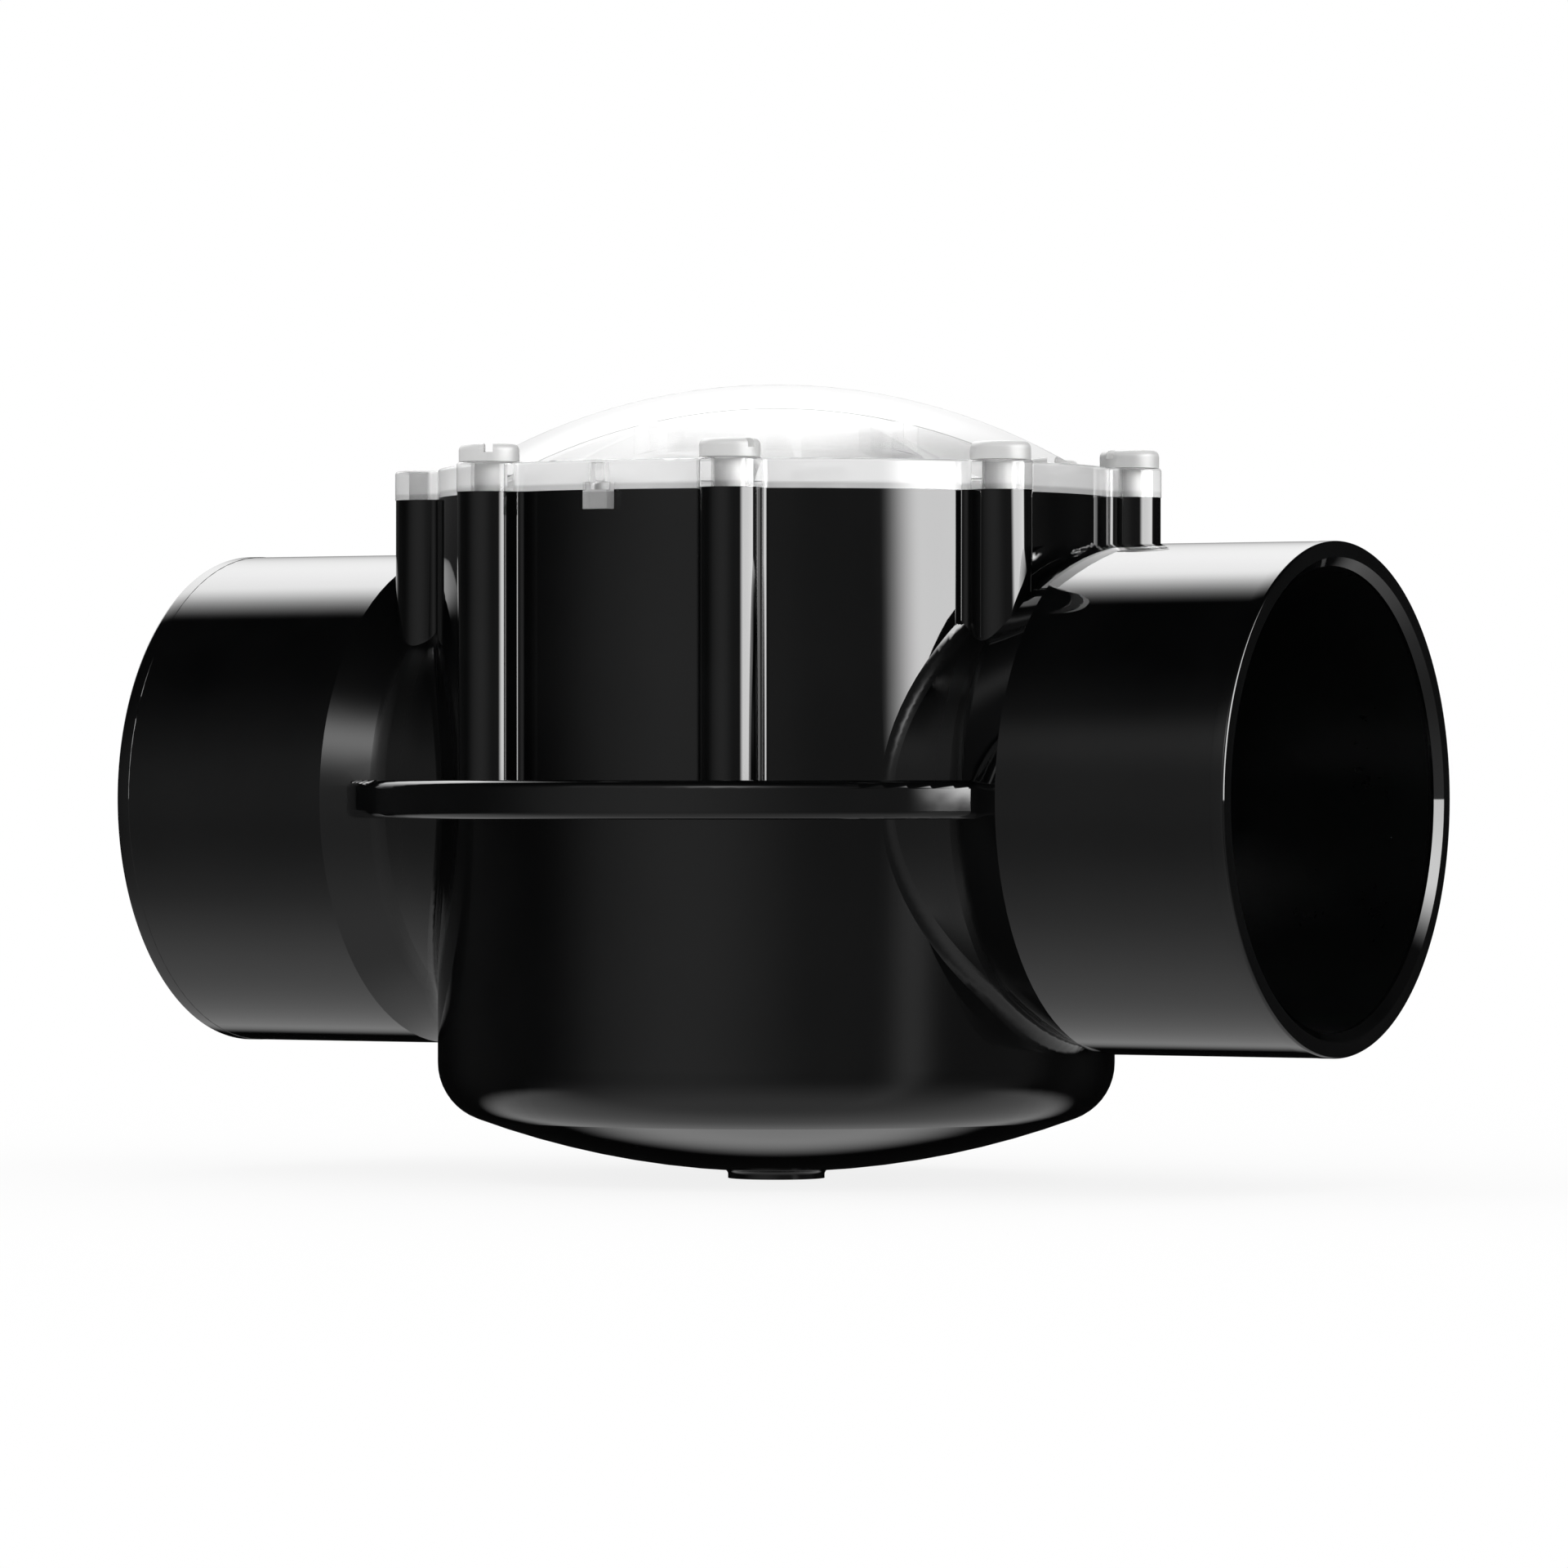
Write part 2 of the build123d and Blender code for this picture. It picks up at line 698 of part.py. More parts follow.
def disc_stud():
    """Round-headed stud through disc and arm, with a shoulder that the arm turns on."""
    head = disc(stud_head_radius, retainer_front - stud_head_height, retainer_front)
    head = fillet(head.edges().sort_by(Axis.Z)[0], stud_head_height / 2)
    shank = disc(stud_radius, retainer_front, nut_front + nut_height + stud_end)
    shoulder = disc(stud_shoulder_radius, disc_boss_back, washer_front)
    return place_on_seat(head + shank + shoulder)


def disc_washer():
    washer = tube(washer_radius, stud_radius + running_clearance, washer_front, nut_front)
    return place_on_seat(washer)


def disc_nut():
    outline = RegularPolygon(nut_across_flats / 2, 6, major_radius=False)
    nut = Pos(0, 0, nut_front) * extrude(outline, nut_height)
    nut &= Pos(0, 0, nut_front + nut_height / 2) * Sphere(nut_across_flats * 0.62)
    nut -= disc(stud_radius + running_clearance, nut_front - overshoot, nut_front + nut_height + overshoot)
    return place_on_seat(nut)


# Return springs


def torsion_spring(side):
    """Coil round the arm's sleeve, one leg in the frame and one on the arm's back."""
    height = spring_pitch * spring_turns_all
    coil = Helix(pitch=spring_pitch, height=height, radius=spring_radius, lefthand=True)
    coil = Pos(0, 0, spring_start) * Rot(0, 0, spring_arm_angle) * coil
    arm_end = (spring_arm_across, -spring_arm_reach, spring_start)
    frame_x = hinge_offset - spring_hole_bottom - spring_hole_clearance
    frame_end = (frame_x, spring_radius, spring_frame_side)
    path = Wire([Line(arm_end, coil @ 0).edge(), coil.edge(), Line(coil @ 1, frame_end).edge()])
    section = Plane(origin=path @ 0, z_dir=path % 0) * Circle(spring_wire / 2)
    spring = sweep(section, path=path, transition=Transition.TRANSFORMED)
    if side < 0:
        spring = mirror(spring, about=Plane.XY)
    return place_on_seat(hinge_shape(spring))


parts = {
    "valve_body": valve_body(),
    "clear_cover": clear_cover(),
    "cover_o_ring": cover_o_ring(),
    "cover_screws": cover_screws(),
    "seat_frame": seat_frame(),
    "seat_frame_o_ring": seat_frame_o_ring(),
    "stop_bumper": stop_bumper(),
    "hinge_bush_left": hinge_bush(1),
    "hinge_bush_right": hinge_bush(-1),
    "hinge_pin": hinge_pin(),
    "pin_clip_left": pin_clip(1),
    "pin_clip_right": pin_clip(-1),
    "swing_arm": swing_arm(),
    "flapper_disc": flapper_disc(),
    "disc_seal": disc_seal(),
    "seal_retainer": seal_retainer(),
    "disc_stud": disc_stud(),
    "disc_washer": disc_washer(),
    "disc_nut": disc_nut(),
    "torsion_spring_left": torsion_spring(1),
    "torsion_spring_right": torsion_spring(-1),
}

os.makedirs("parts", exist_ok=True)
for name, shape in parts.items():
    export_step(shape, f"parts/{name}.step")
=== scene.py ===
from math import cos, pi, radians, sin

import bpy
import numpy as np
from mathutils import Matrix, Vector


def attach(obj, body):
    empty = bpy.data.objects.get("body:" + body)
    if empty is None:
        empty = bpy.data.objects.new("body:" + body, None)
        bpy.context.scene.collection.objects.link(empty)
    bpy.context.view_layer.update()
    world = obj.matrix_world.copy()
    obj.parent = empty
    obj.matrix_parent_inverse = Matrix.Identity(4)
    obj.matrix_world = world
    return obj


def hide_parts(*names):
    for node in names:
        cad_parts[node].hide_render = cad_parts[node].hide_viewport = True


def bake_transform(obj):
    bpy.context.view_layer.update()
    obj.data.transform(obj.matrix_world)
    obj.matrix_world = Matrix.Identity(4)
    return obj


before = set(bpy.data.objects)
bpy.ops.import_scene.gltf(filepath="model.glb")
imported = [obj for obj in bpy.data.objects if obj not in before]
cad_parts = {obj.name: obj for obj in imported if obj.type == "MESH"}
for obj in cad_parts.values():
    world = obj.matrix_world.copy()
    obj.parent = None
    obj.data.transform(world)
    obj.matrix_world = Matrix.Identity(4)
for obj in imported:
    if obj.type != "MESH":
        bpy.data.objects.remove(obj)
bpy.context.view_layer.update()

# Lengths are metres, in the CAD's frame: X along the flow, Z up, origin under the foot pad
AXIS_HEIGHT = 0.0554
BODY_RADIUS = 0.0495
BODY_TOP = 0.09924
FLANGE_TOP = 0.10352
DOME_APEX = 0.1159
DOME_RADIUS = 0.086
DOME_WALL = 0.0035
PORT_END = 0.0915
PORT_RADIUS = 0.0365
SOCKET_RADIUS = 0.033
CHAMFER_WIDTH = 0.0012
CHAMFER_DEPTH = 0.0010
LAND_X = -0.028
HINGE_OFFSET = 0.0159
HINGE_RISE = 0.0335
HINGE_SLANT = radians(10.0)
SCREW_CIRCLE = 0.0518
EMPTY_LOBE_TURN = radians(202.5)
EMPTY_LOBE_RADIUS = 0.005
SPRING_WIRE = 0.0009
SPRING_RADIUS = 0.00405
SPRING_PITCH = 0.00105
SPRING_START = 0.0068
SPRING_TURNS = 4.26925
SPRING_START_ANGLE = 186.9288
SPRING_ARM_END = (-0.0025, -0.013)
SPRING_FRAME_END = 0.01325
FLOOR_RADIUS = 2.4
VIEW_TURN = radians(29.6885)
VIEW_RISE = radians(0.0327)
VIEW_DISTANCE = 1.2486
VIEW_LENS = 195.95
VIEW_ASIDE = 0.001121
VIEW_ABOVE = 0.00219
VIEW_RIGHT = Vector((cos(VIEW_TURN), sin(VIEW_TURN), 0.0))
VIEW_BACK = Vector((
    sin(VIEW_TURN) * cos(VIEW_RISE), -cos(VIEW_TURN) * cos(VIEW_RISE), sin(VIEW_RISE)
))
VIEW_UP = VIEW_BACK.cross(VIEW_RIGHT)
VIEW_TARGET = VIEW_RIGHT * VIEW_ASIDE + Vector((0.0, 0.0, AXIS_HEIGHT + VIEW_ABOVE))

# Strengths of the studio's panels, as glossy surfaces see them
STRIP_STRENGTH = 13.6
OVERHEAD_STRENGTH = 8.6
LAMP_STRENGTH = 3.0
WHITE = (1.0, 1.0, 1.0, 1.0)


class Value:
    """A node socket that takes part in written-out maths."""

    def __init__(self, graph, socket):
        self.graph = graph
        self.socket = socket

    def __add__(self, other):
        return self.graph.math("ADD", self, other)

    def __radd__(self, other):
        return self.graph.math("ADD", other, self)

    def __sub__(self, other):
        return self.graph.math("SUBTRACT", self, other)

    def __rsub__(self, other):
        return self.graph.math("SUBTRACT", other, self)

    def __mul__(self, other):
        return self.graph.math("MULTIPLY", self, other)

    def __rmul__(self, other):
        return self.graph.math("MULTIPLY", other, self)

    def __truediv__(self, other):
        return self.graph.math("DIVIDE", self, other)

    def __rtruediv__(self, other):
        return self.graph.math("DIVIDE", other, self)


class Graph:
    """The nodes of one material or of the world."""

    def __init__(self, tree):
        self.tree = tree
        tree.nodes.clear()

    def node(self, kind, settings=None, **inputs):
        """One node: its type, its settings, then the values or links of its sockets.

        A socket is named with underscores for spaces, or by its number after an underscore.
        """
        made = self.tree.nodes.new(kind)
        for name, value in (settings or {}).items():
            setattr(made, name, value)
        for name, value in inputs.items():
            key = int(name[1:]) if name[0] == "_" else name.replace("_", " ")
            socket = made.inputs[key]
            if isinstance(value, Value):
                self.tree.links.new(value.socket, socket)
            else:
                socket.default_value = value
        return made

    def value(self, kind, output, settings=None, **inputs):
        """One node's output, ready for maths."""
        return Value(self, self.node(kind, settings, **inputs).outputs[output])

    def math(self, operation, *terms):
        inputs = {f"_{place}": term for place, term in enumerate(terms)}
        return self.value("ShaderNodeMath", 0, {"operation": operation}, **inputs)

    def step(self, x, low, high):
        """Smooth step: 0 below low, 1 above high, and 3t^2 - 2t^3 between."""
        return self.value(
            "ShaderNodeMapRange", 0, {"interpolation_type": "SMOOTHSTEP"},
            Value=x, From_Min=low, From_Max=high,
        )

    def fall(self, x, low, high):
        """One minus the smooth step."""
        return 1.0 - self.step(x, low, high)

    def dot(self, vector, direction):
        """Component of a vector along a fixed direction."""
        return self.value(
            "ShaderNodeVectorMath", "Value", {"operation": "DOT_PRODUCT"}, _0=vector, _1=direction
        )

    def length(self, *parts):
        """Square root of the sum of squares."""
        total = parts[0] * parts[0]
        for part in parts[1:]:
            total = total + part * part
        return self.math("SQRT", total)

    def bell(self, square, width):
        """Bell curve exp(-square / width)."""
        return self.math("EXPONENT", -1.0 * square / width)

    def axes(self, vector):
        """The three components of a vector."""
        split = self.node("ShaderNodeSeparateXYZ", None, Vector=vector)
        return [Value(self, split.outputs[axis]) for axis in ("X", "Y", "Z")]

    def noise(self, place, scale, detail=2.0, roughness=0.5):
        return self.value(
            "ShaderNodeTexNoise", "Fac", None,
            Vector=place, Scale=scale, Detail=detail, Roughness=roughness,
        )

    def grey(self, level):
        """Neutral colour from one number."""
        return self.value("ShaderNodeCombineColor", 0, None, Red=level, Green=level, Blue=level)

    def mix_colour(self, factor, first, second):
        """Blend of two fixed colours."""
        return self.value(
            "ShaderNodeMix", "Result", {"data_type": "RGBA"},
            _0=factor, _6=(*first, 1.0), _7=(*second, 1.0),
        )

    def bump(self, height, strength, distance):
        return self.value(
            "ShaderNodeBump", "Normal", None, Height=height, Strength=strength, Distance=distance
        )

    def principled(self, **inputs):
        return self.value("ShaderNodeBsdfPrincipled", 0, None, **inputs)

    def mix_shader(self, share, first, second):
        return self.value("ShaderNodeMixShader", 0, None, _0=share, _1=first, _2=second)

    def show(self, shader):
        """Put a shader on the material's surface."""
        self.node("ShaderNodeOutputMaterial", None, Surface=shader)


# Camera, floor and light


def add_camera():
    data = bpy.data.cameras.new("photo_camera")
    data.lens = VIEW_LENS
    data.sensor_width = 36.0
    data.clip_start = 0.05
    camera = bpy.data.objects.new("photo_camera", data)
    turn = Matrix((VIEW_RIGHT, VIEW_UP, VIEW_BACK)).transposed().to_4x4()
    camera.matrix_world = Matrix.Translation(VIEW_TARGET + VIEW_BACK * VIEW_DISTANCE) @ turn
    bpy.context.scene.collection.objects.link(camera)
    bpy.context.scene.camera = camera


def studio_panels(graph, ray):
    """What glossy surfaces see in a direction: soft panels in a dim room over a pale ground.

    side, near and up are the direction's components to the camera's right, towards the camera and
    upwards. turn and rise are its angles in degrees: turn from the camera's side of the object to
    the right, and rise from the horizon up.
    """
    side = graph.dot(ray, VIEW_RIGHT)
    near = graph.dot(ray, VIEW_BACK)
    up = graph.dot(ray, (0.0, 0.0, 1.0))
    turn = graph.math("ARCTAN2", side, near) * (180 / pi)
    rise = graph.math("ARCSINE", up) * (180 / pi)
    above = graph.step(rise, -0.16, -0.04)

    # Dim room: a wide glow at the front left, a narrow one at the front right, dark behind
    front = turn + 30.0
    room = 0.36 * graph.bell(front * front, 1700.0) * graph.step(turn, -95.0, -60.0)
    room = room + 0.08 * graph.step(turn, 5.0, 30.0) * graph.fall(turn, 90.0, 110.0)
    right = turn - 46.0
    room = room + 0.4 * graph.bell(right * right, 60.0)
    room = room + 0.004 + 0.03 * graph.fall(-1.0 * near, 0.5, 0.9)
    room = room * graph.bell(rise * rise, 1600.0)

    # Tall panel to the right, from the horizon up
    strip = graph.step(turn, 34.5, 50.0) * graph.fall(turn, 88.0, 94.0)
    strip = strip * above * graph.fall(rise, 22.0, 38.0) * STRIP_STRENGTH

    # Wide panel high up behind the object, mostly to its left
    lean = -1.0 * near / graph.math("MAXIMUM", up, 0.001)
    swing = side / graph.math("MAXIMUM", -1.0 * near, 0.001)
    across = graph.step(swing, -1.6, -1.0) * graph.fall(swing, 0.05, 0.35)
    height = graph.math("MINIMUM", graph.math("MAXIMUM", rise, 0.0) / 60.0, 1.0)
    overhead = graph.step(lean, 0.38, 0.9) * across * graph.math("POWER", height, 1.4)
    overhead = overhead * OVERHEAD_STRENGTH

    # Small round lamp above the camera, a little to its left, in a band of faint light
    lamp_turn = turn + 15.0
    lamp_rise = rise - 26.0
    lamp = graph.bell(lamp_turn * lamp_turn + lamp_rise * lamp_rise, 110.0) * LAMP_STRENGTH
    glow = graph.step(turn, -66.0, -56.0) * graph.fall(turn, 0.0, 30.0)
    glow = glow * graph.bell(lamp_rise * lamp_rise, 120.0) * 0.3

    # Pale ground: it brightens slowly downwards on the camera's side and quickly behind
    ground_front = graph.step(-1.0 * rise, 8.0, 62.0) * 0.58
    ground_back = graph.step(-1.0 * rise, 23.0, 34.0) * 0.76
    ground = ground_back + (ground_front - ground_back) * graph.step(near, -0.25, 0.25)
    return room + strip + overhead + lamp + glow + ground


def seen_rays(graph):
    """One for rays from the camera, straight or through clear parts, before any reflection."""
    paths = graph.node("ShaderNodeLightPath")
    straight = Value(graph, paths.outputs["Is Camera Ray"])
    through = Value(graph, paths.outputs["Is Transmission Ray"])
    mirrored = Value(graph, paths.outputs["Glossy Depth"])
    scattered = Value(graph, paths.outputs["Diffuse Depth"])
    return graph.math("MAXIMUM", straight, through) * graph.fall(mirrored + scattered, 0.0, 1.0)


def add_world():
    """Studio light: plain white for the camera's view of it, straight or through clear parts.

    Matt surfaces get an even light, a little stronger from above, and glossy ones see the panels.
    """
    world = bpy.data.worlds.new("studio")
    bpy.context.scene.world = world
    world.use_nodes = True
    world.cycles.sampling_method = "NONE"
    graph = Graph(world.node_tree)
    ray = graph.value("ShaderNodeTexCoord", "Generated")
    paths = graph.node("ShaderNodeLightPath")
    is_glossy = Value(graph, paths.outputs["Is Glossy Ray"])
    bounces = Value(graph, paths.outputs["Glossy Depth"])
    glossy = graph.math("MINIMUM", graph.math("MAXIMUM", is_glossy, bounces), 1.0)
    up = graph.dot(ray, (0.0, 0.0, 1.0))
    even = 0.8 + 0.3 * up
    light = even + (studio_panels(graph, ray) - even) * glossy
    strength = light + (1.0 - light) * seen_rays(graph)
    background = graph.value("ShaderNodeBackground", 0, None, Color=WHITE, Strength=strength)
    graph.node("ShaderNodeOutputWorld", None, Surface=background)


def add_floor():
    """Flat disc at height 0: rings of points round the origin, with radii in even ratios."""
    rings, spokes, innermost = 24, 96, 0.02
    radii = np.geomspace(innermost, FLOOR_RADIUS, rings)
    angles = np.linspace(0, 2 * pi, spokes, endpoint=False)
    ring, angle = np.meshgrid(radii, angles, indexing="ij")
    points = np.stack([ring * np.cos(angle), ring * np.sin(angle), 0 * ring], axis=-1)
    floor = grid_piece("studio_floor", points, cap_start=True)
    material, graph = new_material("pale_floor")
    seen = seen_rays(graph)
    matt = graph.value("ShaderNodeBsdfDiffuse", 0, None, Color=graph.grey(0.8 + 0.2 * seen))
    white = graph.value("ShaderNodeEmission", 0, None, Color=WHITE, Strength=1.0)
    graph.show(graph.mix_shader(seen * 0.85, matt, white))
    floor.data.materials.append(material)
    floor.visible_glossy = False


# Meshes from grids of points


def grid_piece(name, points, cap_start=False, cap_end=False, turned=False, crisp=180):
    """Mesh over a grid of points: quads between neighbours, with each row closed into a ring.

    A capped end gets one point at the mean of its row and a fan of triangles. The outside is where
    rows cross columns by the right hand, or the other side when turned. Edges past the crisp angle
    stay sharp.
    """
    rows, columns = points.shape[:2]
    index = np.arange(rows * columns).reshape(rows, columns)
    index = np.hstack([index, index[:, :1]])
    quads = np.stack([index[:-1, :-1], index[1:, :-1], index[1:, 1:], index[:-1, 1:]], axis=-1)
    vertices = [points.reshape(-1, 3)]
    faces = quads.reshape(-1, 4).tolist()
    for wanted, row, flip in ((cap_start, 0, False), (cap_end, -1, True)):
        if wanted:
            centre = sum(len(v) for v in vertices)
            vertices.append(points[row].mean(axis=0)[None])
            first, second = index[row, :-1], index[row, 1:]
            if flip:
                first, second = second, first
            faces += np.stack([first, second, np.full(len(first), centre)], axis=-1).tolist()
    mesh = bpy.data.meshes.new(name)
    mesh.from_pydata(np.vstack(vertices).tolist(), [], faces)
    if turned:
        mesh.flip_normals()
    mesh.polygons.foreach_set("use_smooth", np.full(len(mesh.polygons), True))
    mesh.set_sharp_from_angle(angle=radians(crisp))
    mesh.update()
    piece = bpy.data.objects.new(name, mesh)
    bpy.context.scene.collection.objects.link(piece)
    return piece


def turned_piece(name, profile, origin, axis, steps=256, crisp=180):
    """Surface of revolution: profile points (along, out) swept round an axis.

    A point is origin + along * axis + out * (cos(angle) * first + sin(angle) * second), where first
    and second are square to the axis.
    """
    axis = np.asarray(axis, float) / np.linalg.norm(axis)
    first = np.cross(axis, (0.0, 0.0, 1.0) if abs(axis[2]) < 0.9 else (1.0, 0.0, 0.0))
    first = first / np.linalg.norm(first)
    second = np.cross(axis, first)
    angle = np.linspace(0, 2 * pi, steps, endpoint=False)
    along, out = np.asarray(profile, float).T
    outward = np.cos(angle)[:, None] * first + np.sin(angle)[:, None] * second
    points = np.asarray(origin) + along[:, None, None] * axis + out[:, None, None] * outward[None]
    return grid_piece(name, points, turned=True, crisp=crisp)


def arc(centre, radius, start, end, count):
    """Points on a circle's arc in the profile's plane, from one angle in degrees to another."""
    angle = np.radians(np.linspace(start, end, count))
    return np.asarray(centre) + radius * np.stack([np.cos(angle), np.sin(angle)], axis=-1)


def port_mouth(name, side):
    """Skin over a port's mouth, so that its round and chamfer shine evenly.

    The profile runs along the tube's outside, round the 0.4 mm outer edge, down the flat face, over
    the chamfer and a little way into the bore, 0.03 mm outside the moulding. Its two ends tuck into
    the wall.
    """
    edge, proud, tuck, mitre = 0.0004, 0.00003, 0.0001, 0.4
    start = PORT_END - 0.0021
    stop = PORT_END - CHAMFER_DEPTH - 0.0010
    outside = [(start - tuck, PORT_RADIUS - tuck), (start, PORT_RADIUS + proud)]
    corner = arc((PORT_END - edge, PORT_RADIUS - edge), edge + proud, start=90, end=0, count=14)
    inside = [
        (PORT_END + proud, SOCKET_RADIUS + CHAMFER_WIDTH + proud * mitre),
        (PORT_END - CHAMFER_DEPTH + proud * mitre, SOCKET_RADIUS - proud),
        (stop, SOCKET_RADIUS - proud),
        (stop - tuck, SOCKET_RADIUS + tuck),
    ]
    profile = np.vstack([outside, corner, inside])
    return turned_piece(name, profile, (0, 0, AXIS_HEIGHT), (side, 0, 0), steps=320, crisp=25)


def return_spring(name, side):
    """Torsion spring: a round wire swept along leg, coil and leg.

    The path is (r cos(a), r sin(a), h) with a falling and h growing evenly over 4.27 turns, and
    straight legs at both ends. The section is a circle square to the path.
    """
    coil_steps, leg_steps, wire_sides = 420, 24, 18
    turns = np.linspace(0, 1, coil_steps)
    angle = np.radians(SPRING_START_ANGLE - 360 * SPRING_TURNS * turns)
    rise = SPRING_START + SPRING_PITCH * SPRING_TURNS * turns
    coil = np.stack([SPRING_RADIUS * np.cos(angle), SPRING_RADIUS * np.sin(angle), rise], axis=-1)
    arm_end = np.array([*SPRING_ARM_END, SPRING_START])
    frame_end = np.array([SPRING_FRAME_END, SPRING_RADIUS, coil[-1, 2]])
    reach = np.linspace(0, 1, leg_steps)[:, None]
    leg_arm = arm_end + (coil[0] - arm_end) * reach[:-1]
    leg_frame = coil[-1] + (frame_end - coil[-1]) * reach[1:]
    drawn = np.vstack([leg_arm, coil, leg_frame])
    away = np.array([cos(HINGE_SLANT), 0.0, sin(HINGE_SLANT)])
    up = np.array([-sin(HINGE_SLANT), 0.0, cos(HINGE_SLANT)])
    path = np.array([LAND_X, 0.0, AXIS_HEIGHT]) + (HINGE_OFFSET - drawn[:, :1]) * away
    path = path + (HINGE_RISE + drawn[:, 1:2]) * up
    path = path + side * drawn[:, 2:] * np.array([0.0, 1.0, 0.0])
    along = np.gradient(path, axis=0)
    along = along / np.linalg.norm(along, axis=1, keepdims=True)
    across = np.cross(along, (0.0, 1.0, 0.0))
    across = across / np.linalg.norm(across, axis=1, keepdims=True)
    beside = np.cross(along, across)
    ring = np.linspace(0, 2 * pi, wire_sides, endpoint=False)[None, :, None]
    section = np.cos(ring) * across[:, None] + np.sin(ring) * beside[:, None]
    points = path[:, None] + SPRING_WIRE / 2 * section
    return grid_piece(name, points, cap_start=True, cap_end=True, turned=True)


# Materials


def new_material(name):
    """A new material and its empty graph."""
    material = bpy.data.materials.new(name)
    material.use_nodes = True
    return material, Graph(material.node_tree)


def finish_node(names, material):
    """Give CAD nodes a worked-out material in place of their flat one."""
    for name in names:
        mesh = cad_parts[name].data
        mesh.materials.clear()
        mesh.materials.append(material)


def black_plastic():
    """Glossy black moulding: near-black pigment, faint flow marks in the gloss, a slight waviness.

    The sockets' bores, up to the chamfer at the mouth, are duller than the outside.
    """
    material, graph = new_material("black_moulding")
    place = graph.value("ShaderNodeTexCoord", "Object")
    flow = graph.noise(place, 55.0, detail=3.0, roughness=0.55)
    fine = graph.noise(place, 900.0)
    streaks = graph.step(flow, 0.3, 0.7)
    tint = graph.mix_colour(streaks, (0.0010, 0.0011, 0.0012), (0.0022, 0.0023, 0.0024))
    along, across, height = graph.axes(place)
    end = graph.math("ABSOLUTE", along)
    away = graph.length(across, height - AXIS_HEIGHT)
    chamfer = PORT_END - CHAMFER_DEPTH
    bore = graph.fall(away, SOCKET_RADIUS + 0.0002, SOCKET_RADIUS + 0.0006)
    bore = bore * graph.step(end, 0.040, 0.045) * graph.fall(end, chamfer - 0.0006, chamfer - 0.0001)
    rough = 0.014 + 0.018 * flow + 0.01 * fine + 0.25 * bore
    wave = graph.bump(flow, strength=0.02, distance=0.0004)
    graph.show(graph.principled(Base_Color=tint, Roughness=rough, Normal=wave, IOR=1.5))
    return material


def clear_plastic():
    """Clear moulding: pale flange edge, cloudier lobes and tab, and painted shade: the dome greys to
    its foot, and the flange's lower edge and the empty lobe are darker.

    A clear and a milky plastic are mixed. The milky one covers the flange's plain outer wall and a
    share of the lobes, the tab and the ribs under the dome, and hardly any of the dome itself. The
    gloss is on outer surfaces and fades on the dome where it is seen at a slant.
    """
    material, graph = new_material("clear_moulding")
    place = graph.value("ShaderNodeTexCoord", "Object")
    x, y, z = graph.axes(place)
    radius = graph.length(x, y)
    cloud = graph.noise(place, 120.0, detail=3.0, roughness=0.6)
    fine = graph.noise(place, 1400.0)

    # Where on the cover: 1 inside each region and 0 outside
    over = graph.step(z, FLANGE_TOP - 0.0004, FLANGE_TOP + 0.0002)
    under = graph.fall(z, BODY_TOP - 0.0004, BODY_TOP - 0.0001)
    wall = (1.0 - over) * (1.0 - under)
    outer = graph.step(radius, BODY_RADIUS - 0.0008, BODY_RADIUS - 0.0004)
    lobes = wall * graph.step(radius, BODY_RADIUS + 0.0010, BODY_RADIUS + 0.0018)
    edge = wall * outer * (1.0 - lobes)
    tab = under * outer
    # Painted shade: the flange's lower edge is greyed, standing in for the black body seen through
    # it
    painted_seam_shade = wall * graph.fall(z, BODY_TOP + 0.0006, BODY_TOP + 0.0011)
    # Painted shade: the lobe with no screw is darkened over its hole
    lobe_x, lobe_y = SCREW_CIRCLE * cos(EMPTY_LOBE_TURN), SCREW_CIRCLE * sin(EMPTY_LOBE_TURN)
    off_lobe = graph.length(x - lobe_x, y - lobe_y)
    empty = lobes * graph.fall(off_lobe, EMPTY_LOBE_RADIUS - 0.0002, EMPTY_LOBE_RADIUS + 0.0002)
    reach = graph.length(radius, z - (DOME_APEX - DOME_RADIUS))
    skin = graph.step(reach, DOME_RADIUS - 0.0008, DOME_RADIUS - 0.0003)
    rib_top = DOME_RADIUS - DOME_WALL
    ribs = graph.fall(reach, rib_top - 0.0004, rib_top - 0.0001) * (1.0 - under)
    # Painted shade: the dome's colour greys towards its foot, in place of light lost through its
    # slanted walls
    foot = over * graph.fall(z, FLANGE_TOP - 0.001, DOME_APEX - 0.002)

    # Colour, gloss and the milky plastic's share. The colour holds painted shade at the dome's foot,
    # the flange's lower edge and the empty lobe
    haze_and_painted_shade = foot * (1.0 - ribs) * 0.18 + lobes * 0.06 + empty * 0.36 + painted_seam_shade * 0.1
    tint = graph.grey(1.0 - haze_and_painted_shade - 0.015 * cloud)
    # The milky plastic's colour greys at the flange's lower edge: painted shade
    pale = graph.mix_colour(painted_seam_shade, (0.99, 0.99, 0.99), (0.66, 0.66, 0.66))
    rough = 0.02 + 0.03 * cloud + 0.01 * fine
    inside = graph.value("ShaderNodeNewGeometry", "Backfacing")
    facing = graph.value("ShaderNodeLayerWeight", "Facing", None, Blend=0.5)
    slant = 0.6 * graph.step(facing, 0.3, 0.55) + 0.4 * graph.step(facing, 0.75, 0.95)
    gloss = (1.0 - inside) * (1.0 - over + over * skin * (1.0 - slant))
    coat = {"Coat_Weight": gloss, "Coat_Roughness": 0.02, "Coat_IOR": 1.5}
    shared = {"Roughness": rough, "IOR": 1.001, **coat}
    clear = graph.principled(Base_Color=tint, Transmission_Weight=1.0, **shared)
    milky = graph.principled(Base_Color=pale, Transmission_Weight=0.1, **shared)
    share = edge * 0.97 + tab * 0.24 + lobes * 0.14 + over * 0.02 + ribs * 0.14
    graph.show(graph.mix_shader(share, clear, milky))
    return material


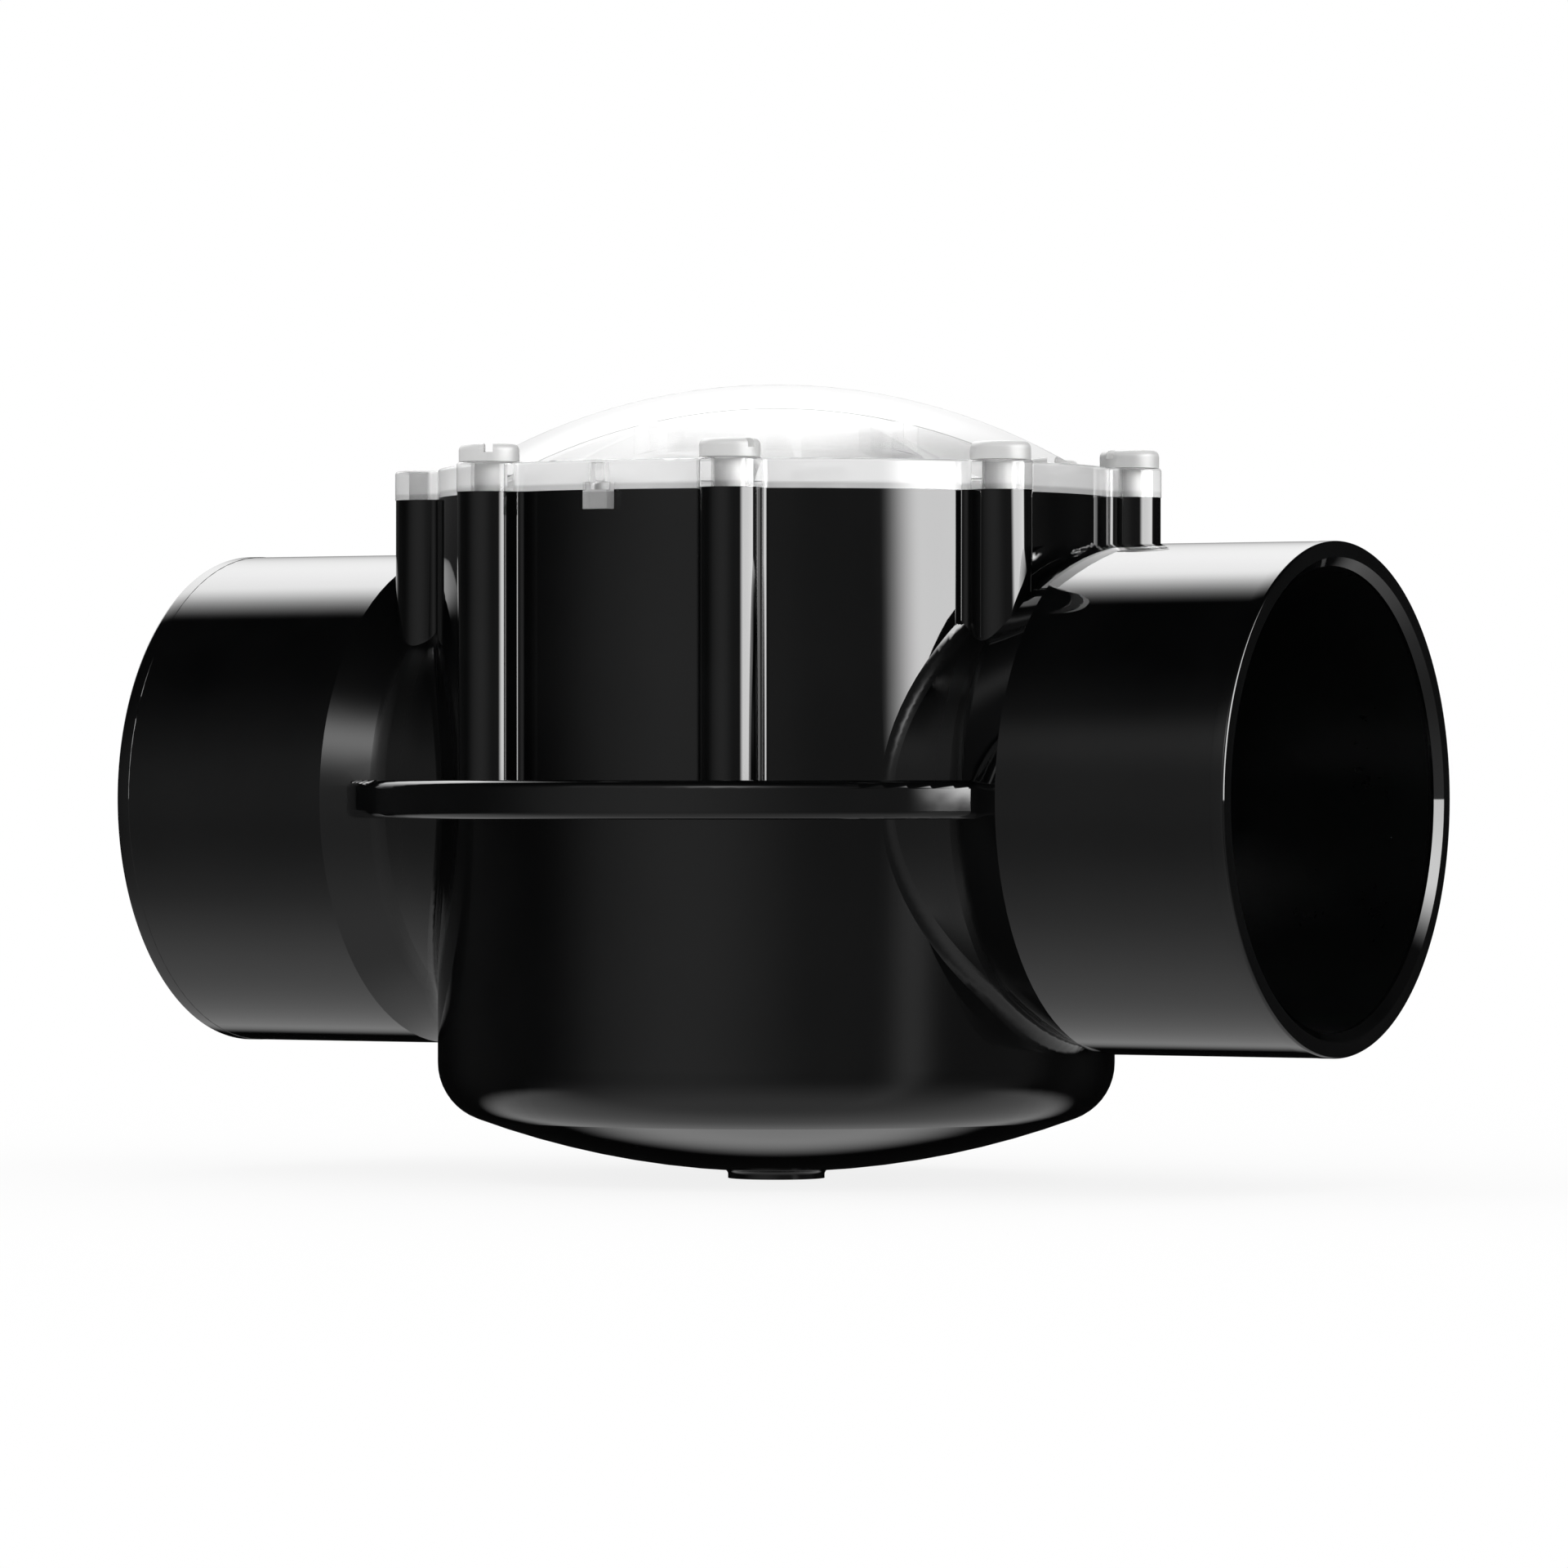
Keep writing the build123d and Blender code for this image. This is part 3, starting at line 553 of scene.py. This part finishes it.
def stainless(name, roughness, shade, metallic=1.0):
    """Stainless steel: fine drawn grain in the gloss and a slightly uneven tone."""
    material, graph = new_material(name)
    place = graph.value("ShaderNodeTexCoord", "Object")
    grain = graph.noise(place, 5200.0, roughness=0.6)
    stain = graph.noise(place, 260.0, detail=3.0, roughness=0.55)
    tint = graph.mix_colour(stain, [shade * 0.95] * 3, (shade, shade, shade * 0.99))
    rough = roughness - 0.04 + 0.06 * grain + 0.03 * stain
    marks = graph.bump(grain, strength=0.02, distance=0.0001)
    graph.show(graph.principled(Base_Color=tint, Roughness=rough, Normal=marks, Metallic=metallic))
    return material


def moulded(name, low, high, roughness):
    """Plain moulded plastic: two close tones in soft clouds and an uneven satin gloss."""
    material, graph = new_material(name)
    place = graph.value("ShaderNodeTexCoord", "Object")
    cloud = graph.noise(place, 90.0, detail=3.0, roughness=0.55)
    pit = graph.noise(place, 1500.0, roughness=0.6)
    rough = roughness - 0.05 + 0.1 * cloud + 0.05 * pit
    skin = graph.bump(pit, strength=0.1, distance=0.0001)
    tint = graph.mix_colour(cloud, low, high)
    graph.show(graph.principled(Base_Color=tint, Roughness=rough, Normal=skin, IOR=1.5))
    return material


# The scene

scene = bpy.context.scene
scene.view_settings.view_transform = "Standard"
scene.cycles.max_bounces = 24
scene.cycles.glossy_bounces = 20
scene.cycles.transmission_bounces = 20
add_camera()
add_world()
add_floor()

black = black_plastic()
finish_node(["valve_body"], black)
for end, side in (("outlet", 1), ("inlet", -1)):
    mouth = port_mouth(f"{end}_mouth", side)
    mouth.data.materials.append(black)
    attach(mouth, "housing")

finish_node(["clear_cover"], clear_plastic())
finish_node(["cover_screws"], stainless("screw_steel", roughness=0.46, shade=0.76, metallic=0.06))
bright_steel = stainless("bright_steel", roughness=0.25, shade=0.66)
finish_node(["hinge_pin", "pin_clip_left", "pin_clip_right"], bright_steel)
finish_node(["disc_washer"], stainless("washer_steel", roughness=0.6, shade=0.28, metallic=0.05))
nut_steel = stainless("nut_steel", roughness=0.5, shade=0.45, metallic=0.09)
finish_node(["disc_stud", "disc_nut"], nut_steel)
for hand, side in (("left", 1), ("right", -1)):
    spring = return_spring(f"return_spring_{hand}", side)
    spring.data.materials.append(bright_steel)
    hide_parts(f"torsion_spring_{hand}")
    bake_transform(spring)

grey = moulded("grey_moulding", (0.36, 0.37, 0.38), (0.44, 0.45, 0.46), roughness=0.35)
finish_node(["seat_frame", "swing_arm"], grey)
dark = moulded("dark_moulding", (0.05, 0.052, 0.055), (0.07, 0.072, 0.075), roughness=0.35)
finish_node(["flapper_disc", "seal_retainer"], dark)
white = moulded("white_moulding", (0.72, 0.72, 0.7), (0.8, 0.8, 0.78), roughness=0.3)
finish_node(["hinge_bush_left", "hinge_bush_right"], white)
rubber = moulded("black_rubber_skin", [0.012] * 3, [0.022] * 3, roughness=0.6)
finish_node(["cover_o_ring", "seat_frame_o_ring", "disc_seal", "stop_bumper"], rubber)
